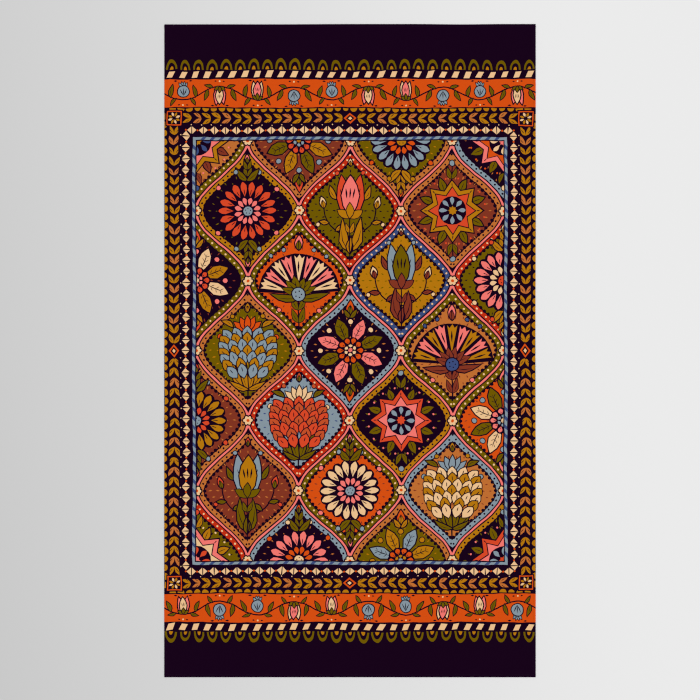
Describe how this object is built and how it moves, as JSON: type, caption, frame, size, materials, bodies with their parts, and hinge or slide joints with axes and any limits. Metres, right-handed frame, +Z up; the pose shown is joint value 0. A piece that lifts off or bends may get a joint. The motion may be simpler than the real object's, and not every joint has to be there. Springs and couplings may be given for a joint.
{
  "type": "rectangular printed tablecloth",
  "caption": "Long rectangular tablecloth with turned and stitched hems and an all-over folk-style print, lying flat.",
  "frame": {"origin": "under the middle of the cloth's outline, on the surface that it lies on", "axes": "+Z up out of the printed face, +Y along the length, +X across the width"},
  "size_m": [1.4732, 2.5908, 0.003],
  "materials": {
    "printed_cloth": "matt plain weave, printed on its face in aubergine, orange, ochre, olive, cream, pink and slate blue"
  },
  "bodies": {
    "root": {"tablecloth": "printed_cloth"}
  },
  "joints": []
}
